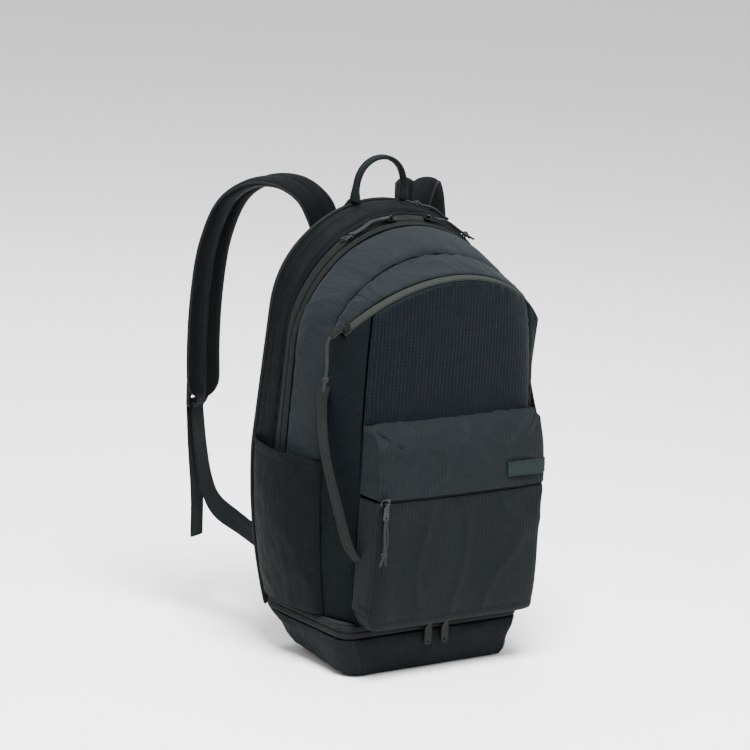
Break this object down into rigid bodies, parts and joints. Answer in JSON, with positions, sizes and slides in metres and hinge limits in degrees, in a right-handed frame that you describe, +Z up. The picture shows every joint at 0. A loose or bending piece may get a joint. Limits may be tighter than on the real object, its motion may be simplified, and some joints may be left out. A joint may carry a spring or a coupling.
{
  "type": "racket backpack",
  "caption": "Upright fabric backpack with racket, main, front and shoe compartments, zips with cord pulls, side pockets and padded shoulder straps.",
  "frame": {"origin": "middle of the flat underside, on the ground", "axes": "+Z up, -Y towards the front pocket, +Y towards the wearer's back and the shoulder straps, +X to the right as seen from the front"},
  "size_m": [0.336, 0.3301, 0.5442],
  "materials": {
    "shell_fabric": "matte",
    "panel_fabric": "matte",
    "lining": "matte",
    "padding_mesh": "matte",
    "zip_tape": "matte",
    "webbing": "matte",
    "pull_cord": "matte",
    "dark_metal": "satin",
    "buckle_plastic": "satin",
    "stiff_sheet": "matte",
    "patch_rubber": "matte"
  },
  "bodies": {
    "bag": {"back_pads": "padding_mesh", "back_panel": "padding_mesh", "back_stiffener": "stiff_sheet", "base_board": "stiff_sheet", "bottom_shell": "shell_fabric", "bottom_zip": "zip_tape", "floor_divider": "lining", "front_divider": "lining", "front_gusset": "shell_fabric", "front_panel": "panel_fabric", "front_zip": "zip_tape", "label_patch": "patch_rubber", "main_gusset_front": "shell_fabric", "main_gusset_rear": "shell_fabric", "main_zip": "zip_tape", "pocket_lower": "shell_fabric", "pocket_upper": "shell_fabric", "pocket_zip": "zip_tape", "racket_divider": "lining", "racket_gusset": "shell_fabric", "racket_zip": "zip_tape", "side_pocket_left": "shell_fabric", "side_pocket_right": "shell_fabric", "side_strap_left": "webbing", "side_strap_right": "webbing", "strap_yoke": "webbing", "webbing_anchors": "webbing"},
    "main_left_slider": {"main_left_slider": "dark_metal"},
    "main_left_puller": {"main_left_puller": "dark_metal", "main_left_pull_cord": "pull_cord", "main_left_pull_knot": "pull_cord"},
    "main_right_slider": {"main_right_slider": "dark_metal"},
    "main_right_puller": {"main_right_puller": "dark_metal", "main_right_pull_cord": "pull_cord", "main_right_pull_knot": "pull_cord"},
    "racket_slider": {"racket_slider": "dark_metal"},
    "racket_puller": {"racket_puller": "dark_metal", "racket_pull_cord": "pull_cord", "racket_pull_knot": "pull_cord"},
    "front_slider": {"front_slider": "dark_metal"},
    "front_puller": {"front_puller": "dark_metal", "front_pull_cord": "pull_cord", "front_pull_knot": "pull_cord"},
    "pocket_slider": {"pocket_slider": "dark_metal"},
    "pocket_puller": {"pocket_puller": "dark_metal", "pocket_pull_cord": "pull_cord", "pocket_pull_knot": "pull_cord"},
    "bottom_left_slider": {"bottom_left_slider": "dark_metal"},
    "bottom_left_puller": {"bottom_left_puller": "dark_metal"},
    "bottom_right_slider": {"bottom_right_slider": "dark_metal"},
    "bottom_right_puller": {"bottom_right_puller": "dark_metal"},
    "strap_left": {"strap_pad_left": "padding_mesh", "strap_webbing_left": "webbing"},
    "lock_left": {"ladder_lock_left": "buckle_plastic"},
    "tail_left": {"webbing_tail_left": "webbing"},
    "strap_right": {"strap_pad_right": "padding_mesh", "strap_webbing_right": "webbing"},
    "lock_right": {"ladder_lock_right": "buckle_plastic"},
    "tail_right": {"webbing_tail_right": "webbing"},
    "haul_loop": {"haul_loop": "webbing"}
  },
  "joints": [
    {"name": "main_left_zip", "type": "hinge", "parent": "bag", "child": "main_left_slider", "pos_m": [0, 0.042, 0.334], "axis": [0, -1, 0], "range_deg": [0, 48]},
    {"name": "main_right_zip", "type": "hinge", "parent": "bag", "child": "main_right_slider", "pos_m": [0, 0.042, 0.334], "axis": [0, 1, 0], "range_deg": [0, 38]},
    {"name": "racket_zip_run", "type": "hinge", "parent": "bag", "child": "racket_slider", "pos_m": [0, 0.077, 0.34374], "axis": [0, 1, 0], "range_deg": [-14, 12]},
    {"name": "front_zip_run", "type": "hinge", "parent": "bag", "child": "front_slider", "pos_m": [0, 0.00915, 0.2807], "axis": [0, 0.9135, 0.4067], "range_deg": [0, 98], "deforming": ["front_pull_cord", "front_pull_knot"]},
    {"name": "pocket_zip_run", "type": "slide", "parent": "bag", "child": "pocket_slider", "axis": [1, 0, 0], "range_m": [0, 0.214]},
    {"name": "bottom_left_zip", "type": "slide", "parent": "bag", "child": "bottom_left_slider", "axis": [-1, 0, 0], "range_m": [0, 0.085]},
    {"name": "bottom_right_zip", "type": "slide", "parent": "bag", "child": "bottom_right_slider", "axis": [1, 0, 0], "range_m": [0, 0.085]},
    {"name": "main_left_pull", "type": "hinge", "parent": "main_left_slider", "child": "main_left_puller", "pos_m": [-0.01854, 0.042, 0.48497], "axis": [0, 1, 0], "range_deg": [0, 95]},
    {"name": "main_right_pull", "type": "hinge", "parent": "main_right_slider", "child": "main_right_puller", "pos_m": [0.03422, 0.042, 0.4822], "axis": [0, -1, 0], "range_deg": [0, 95]},
    {"name": "racket_pull", "type": "hinge", "parent": "racket_slider", "child": "racket_puller", "pos_m": [0.08578, 0.077, 0.47091], "axis": [0, 1, 0], "range_deg": [0, 95]},
    {"name": "front_pull", "type": "hinge", "parent": "front_slider", "child": "front_puller", "pos_m": [-0.13404, -0.03825, 0.38714], "axis": [0, 0.9135, 0.4067], "range_deg": [-3, 70]},
    {"name": "pocket_pull", "type": "hinge", "parent": "pocket_slider", "child": "pocket_puller", "pos_m": [-0.109, -0.1021, 0.2075], "axis": [1, 0, 0], "range_deg": [-100, 0]},
    {"name": "bottom_left_pull", "type": "hinge", "parent": "bottom_left_slider", "child": "bottom_left_puller", "pos_m": [-0.0115, -0.0653, 0.0525], "axis": [1, 0, 0], "range_deg": [-75, 0]},
    {"name": "bottom_right_pull", "type": "hinge", "parent": "bottom_right_slider", "child": "bottom_right_puller", "pos_m": [0.0115, -0.0653, 0.0525], "axis": [1, 0, 0], "range_deg": [-75, 0]},
    {"name": "haul_loop_fold", "type": "hinge", "parent": "bag", "child": "haul_loop", "pos_m": [0, 0.09, 0.498], "axis": [1, 0, 0], "range_deg": [-55, 55]},
    {"name": "strap_left_swing", "type": "hinge", "parent": "bag", "child": "strap_left", "pos_m": [-0.055, 0.0975, 0.449], "axis": [1, 0, 0], "range_deg": [-18, 0], "deforming": ["strap_webbing_left"]},
    {"name": "lock_left_tilt", "type": "hinge", "parent": "strap_left", "child": "lock_left", "pos_m": [-0.14332, 0.21483, 0.27459], "axis": [0.9272, 0.3746, 0], "range_deg": [0, 25]},
    {"name": "tail_left_swing", "type": "hinge", "parent": "lock_left", "child": "tail_left", "pos_m": [-0.14443, 0.21902, 0.25141], "axis": [0.9272, 0.3746, 0], "range_deg": [0, 30]},
    {"name": "strap_right_swing", "type": "hinge", "parent": "bag", "child": "strap_right", "pos_m": [0.055, 0.0975, 0.449], "axis": [1, 0, 0], "range_deg": [-6, 0], "deforming": ["strap_webbing_right"]},
    {"name": "lock_right_tilt", "type": "hinge", "parent": "strap_right", "child": "lock_right", "pos_m": [0.10995, 0.1436, 0.27696], "axis": [0.9903, -0.1392, 0], "range_deg": [0, 25]},
    {"name": "tail_right_swing", "type": "hinge", "parent": "lock_right", "child": "tail_right", "pos_m": [0.10985, 0.14664, 0.25358], "axis": [0.9903, -0.1392, 0], "range_deg": [0, 30]}
  ]
}
